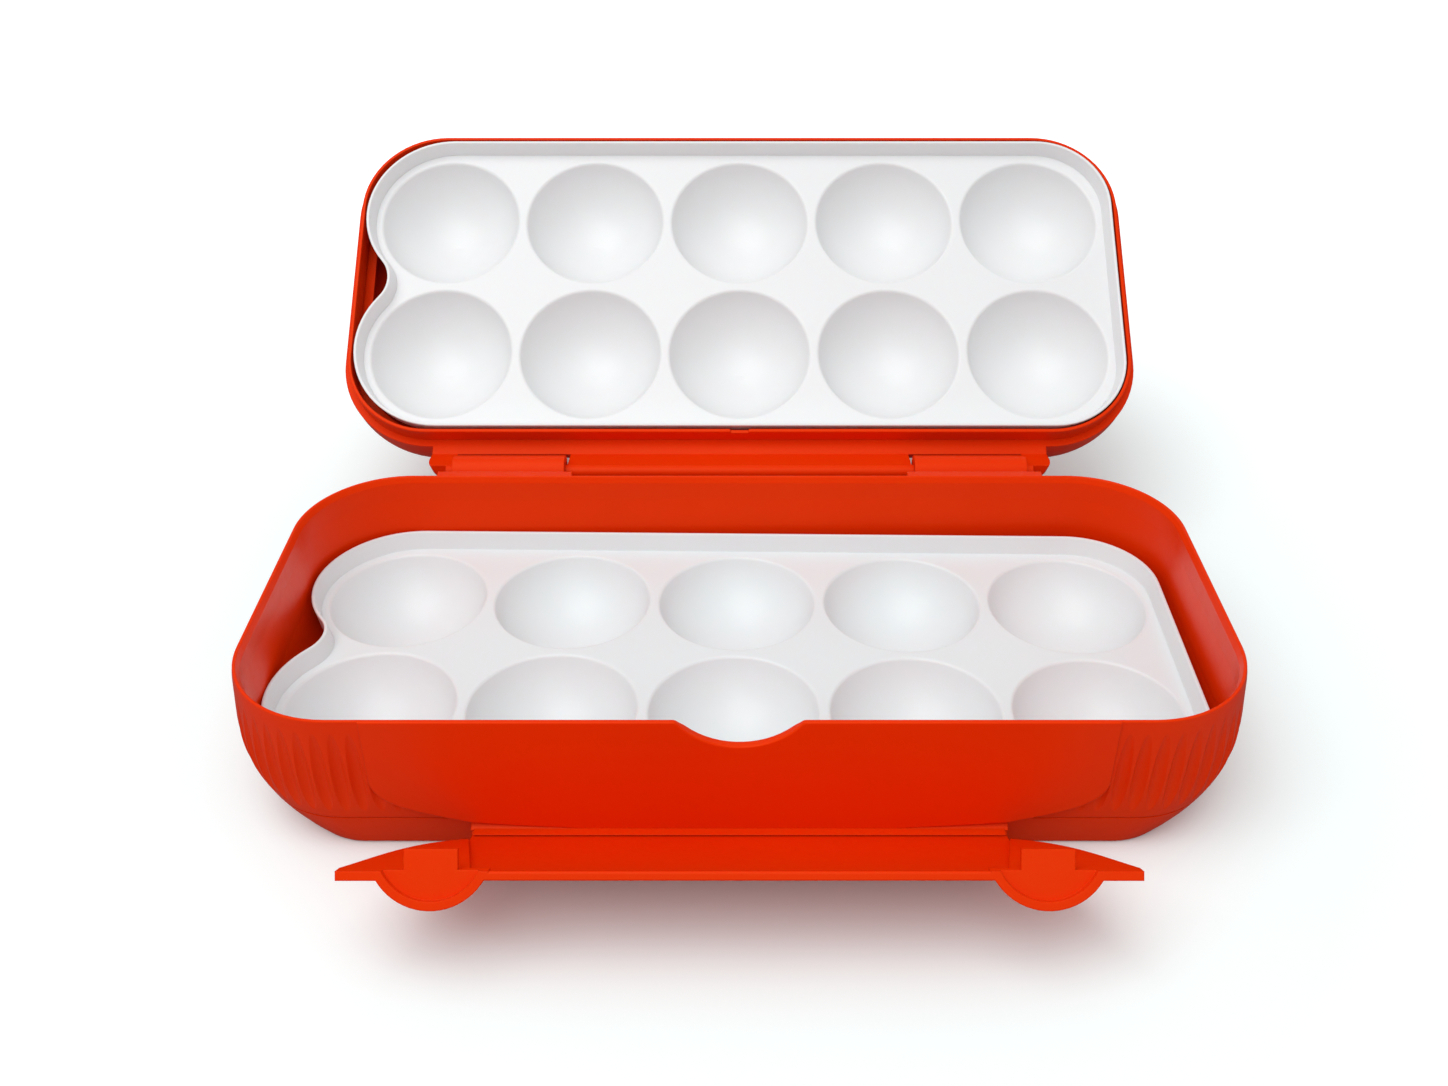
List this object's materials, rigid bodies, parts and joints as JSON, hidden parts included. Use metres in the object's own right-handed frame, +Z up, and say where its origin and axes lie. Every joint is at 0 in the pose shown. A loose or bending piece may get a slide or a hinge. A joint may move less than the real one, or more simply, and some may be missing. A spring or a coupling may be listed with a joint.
{
  "type": "egg keeper with flip lid",
  "caption": "Portable egg keeper: a fluted plastic box with a hinged lid, a tray of round cups in each half and a swing-up front latch.",
  "frame": {"origin": "centre of the base shell's flat underside", "axes": "+Z up, +Y towards the lid hinge, X along the box's length"},
  "size_m": [0.2676, 0.2798, 0.1178],
  "materials": {
    "shell_plastic": "orange-red moulded polypropylene, soft gloss",
    "tray_plastic": "white thin moulded plastic, soft satin"
  },
  "bodies": {
    "root": {"base_shell": "shell_plastic"},
    "lid": {"lid_shell": "shell_plastic"},
    "latch": {"front_latch": "shell_plastic"},
    "base_tray": {"base_egg_tray": "tray_plastic"},
    "lid_tray": {"lid_egg_tray": "tray_plastic"}
  },
  "joints": [
    {"name": "lid_hinge", "type": "hinge", "parent": "root", "child": "lid", "pos_m": [0, 0.06935, 0.041], "axis": [1, 0, 0], "range_deg": [0, 142.6]},
    {"name": "latch_hinge", "type": "hinge", "parent": "root", "child": "latch", "pos_m": [0, -0.0593, 0.0089], "axis": [-1, 0, 0], "range_deg": [-30, 56.2]},
    {"name": "base_tray_lift", "type": "slide", "parent": "root", "child": "base_tray", "axis": [0, 0, 1], "range_m": [0, 0.006]},
    {"name": "lid_tray_slide", "type": "slide", "parent": "lid", "child": "lid_tray", "axis": [0, -0.6074, 0.7944], "range_m": [0, 0.004]}
  ]
}
